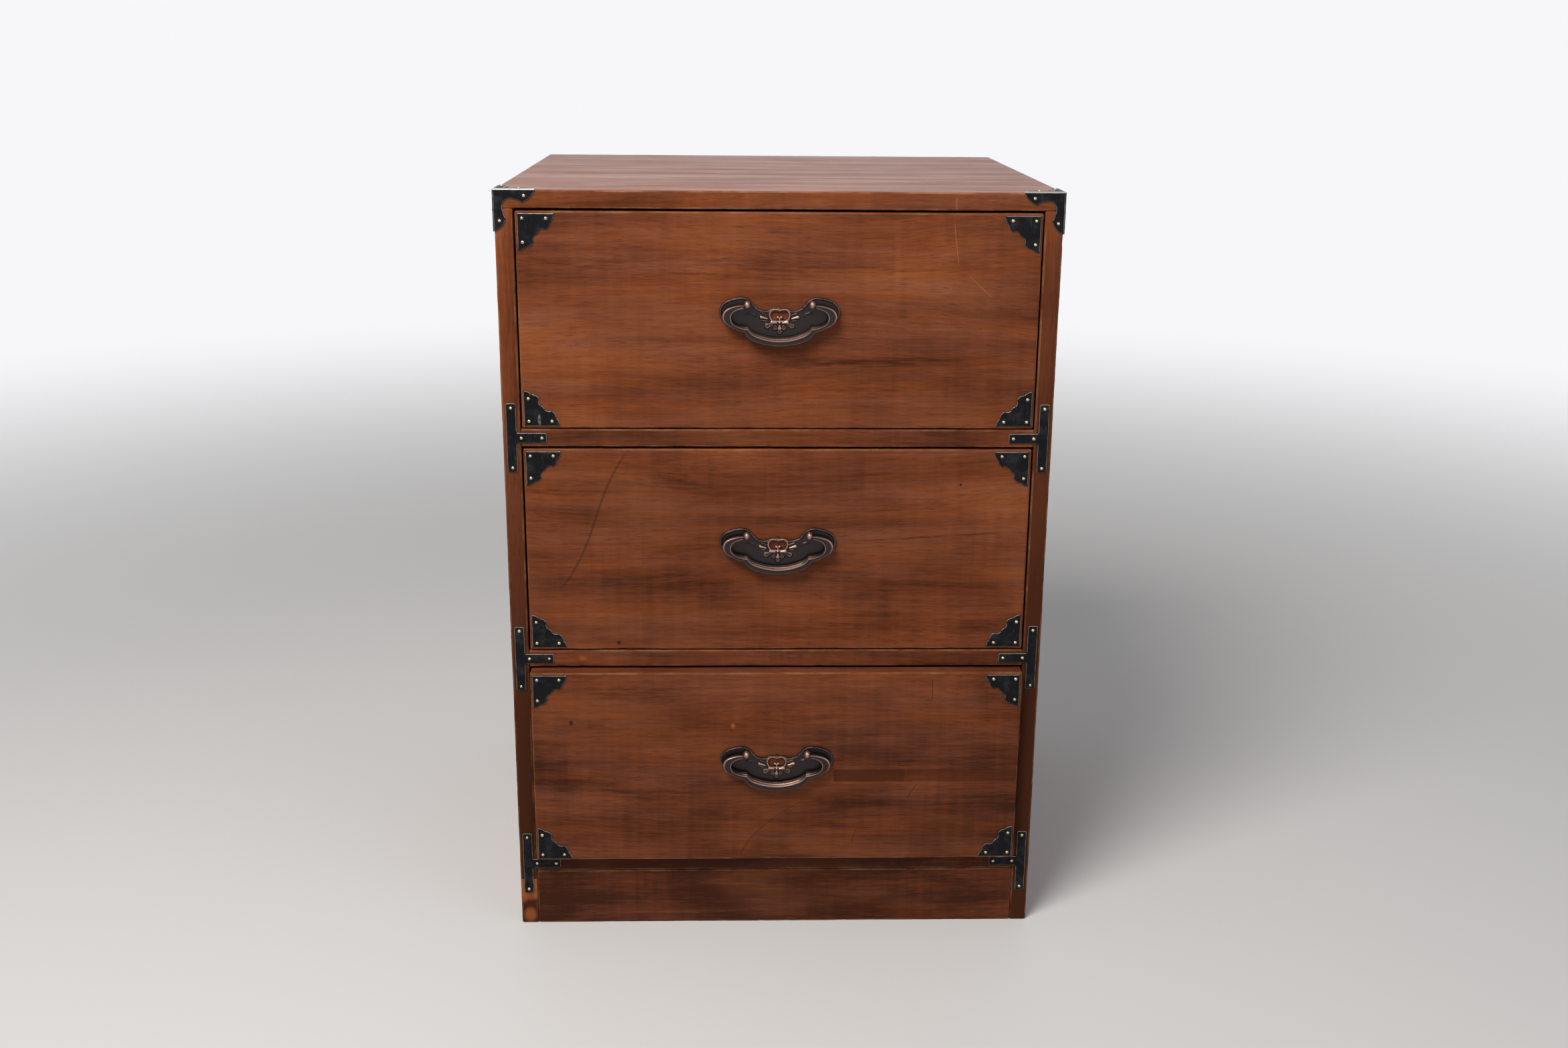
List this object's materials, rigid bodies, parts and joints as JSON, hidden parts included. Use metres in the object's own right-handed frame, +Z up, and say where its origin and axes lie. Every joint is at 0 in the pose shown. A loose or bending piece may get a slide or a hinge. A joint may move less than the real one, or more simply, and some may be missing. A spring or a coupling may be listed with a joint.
{
  "type": "tansu chest",
  "caption": "Small wooden chest with inset drawers on runners, black iron corner and tee plates, brass nails, and swinging bail pulls on pierced plates.",
  "frame": {"origin": "on the floor, under the middle of the whole chest with its pulls", "axes": "+Z up, drawers open along -Y, +X to the right seen from the front"},
  "size_m": [0.5044, 0.4833, 0.7157],
  "materials": {
    "stained_wood": "satin red-brown stain",
    "plain_wood": "unfinished planed wood",
    "back_ply": "unfinished plywood",
    "black_iron": "worn black",
    "brass_nail": "dull brass",
    "dark_bronze": "dark antique bronze, rubbed bright on the edges",
    "steel": "plain zinc"
  },
  "bodies": {
    "case": {"top_panel": "stained_wood", "left_side": "stained_wood", "right_side": "stained_wood", "back_panel": "back_ply", "upper_rail": "stained_wood", "lower_rail": "stained_wood", "bottom_rail": "stained_wood", "plinth_board": "stained_wood", "upper_left_runner": "plain_wood", "upper_right_runner": "plain_wood", "middle_left_runner": "plain_wood", "middle_right_runner": "plain_wood", "lower_left_runner": "plain_wood", "lower_right_runner": "plain_wood", "drawer_stops": "plain_wood", "left_corner_cap": "black_iron", "right_corner_cap": "black_iron", "upper_left_tee": "black_iron", "upper_right_tee": "black_iron", "lower_left_tee": "black_iron", "lower_right_tee": "black_iron", "bottom_left_tee": "black_iron", "bottom_right_tee": "black_iron", "case_nails": "brass_nail", "case_dowels": "plain_wood", "case_screws": "steel"},
    "upper_drawer": {"upper_drawer_front": "stained_wood", "upper_drawer_left_wall": "plain_wood", "upper_drawer_right_wall": "plain_wood", "upper_drawer_back": "plain_wood", "upper_drawer_floor": "back_ply", "upper_corner_plates": "black_iron", "upper_corner_nails": "brass_nail", "upper_handle_plate": "dark_bronze", "upper_handle_posts": "dark_bronze", "upper_handle_nuts": "steel"},
    "upper_bail": {"upper_bail": "dark_bronze"},
    "middle_drawer": {"middle_drawer_front": "stained_wood", "middle_drawer_left_wall": "plain_wood", "middle_drawer_right_wall": "plain_wood", "middle_drawer_back": "plain_wood", "middle_drawer_floor": "back_ply", "middle_corner_plates": "black_iron", "middle_corner_nails": "brass_nail", "middle_handle_plate": "dark_bronze", "middle_handle_posts": "dark_bronze", "middle_handle_nuts": "steel"},
    "middle_bail": {"middle_bail": "dark_bronze"},
    "lower_drawer": {"lower_drawer_front": "stained_wood", "lower_drawer_left_wall": "plain_wood", "lower_drawer_right_wall": "plain_wood", "lower_drawer_back": "plain_wood", "lower_drawer_floor": "back_ply", "lower_corner_plates": "black_iron", "lower_corner_nails": "brass_nail", "lower_handle_plate": "dark_bronze", "lower_handle_posts": "dark_bronze", "lower_handle_nuts": "steel"},
    "lower_bail": {"lower_bail": "dark_bronze"}
  },
  "joints": [
    {"name": "upper_drawer_slide", "type": "slide", "parent": "case", "child": "upper_drawer", "axis": [0, -1, 0], "range_m": [0, 0.34]},
    {"name": "upper_bail_swing", "type": "hinge", "parent": "upper_drawer", "child": "upper_bail", "pos_m": [0, -0.22515, 0.6135], "axis": [-1, 0, 0], "range_deg": [0, 90]},
    {"name": "middle_drawer_slide", "type": "slide", "parent": "case", "child": "middle_drawer", "axis": [0, -1, 0], "range_m": [0, 0.34]},
    {"name": "middle_bail_swing", "type": "hinge", "parent": "middle_drawer", "child": "middle_bail", "pos_m": [0, -0.22515, 0.4], "axis": [-1, 0, 0], "range_deg": [0, 90]},
    {"name": "lower_drawer_slide", "type": "slide", "parent": "case", "child": "lower_drawer", "axis": [0, -1, 0], "range_m": [-0.012, 0.328]},
    {"name": "lower_bail_swing", "type": "hinge", "parent": "lower_drawer", "child": "lower_bail", "pos_m": [0, -0.23715, 0.1865], "axis": [-1, 0, 0], "range_deg": [0, 90]}
  ]
}
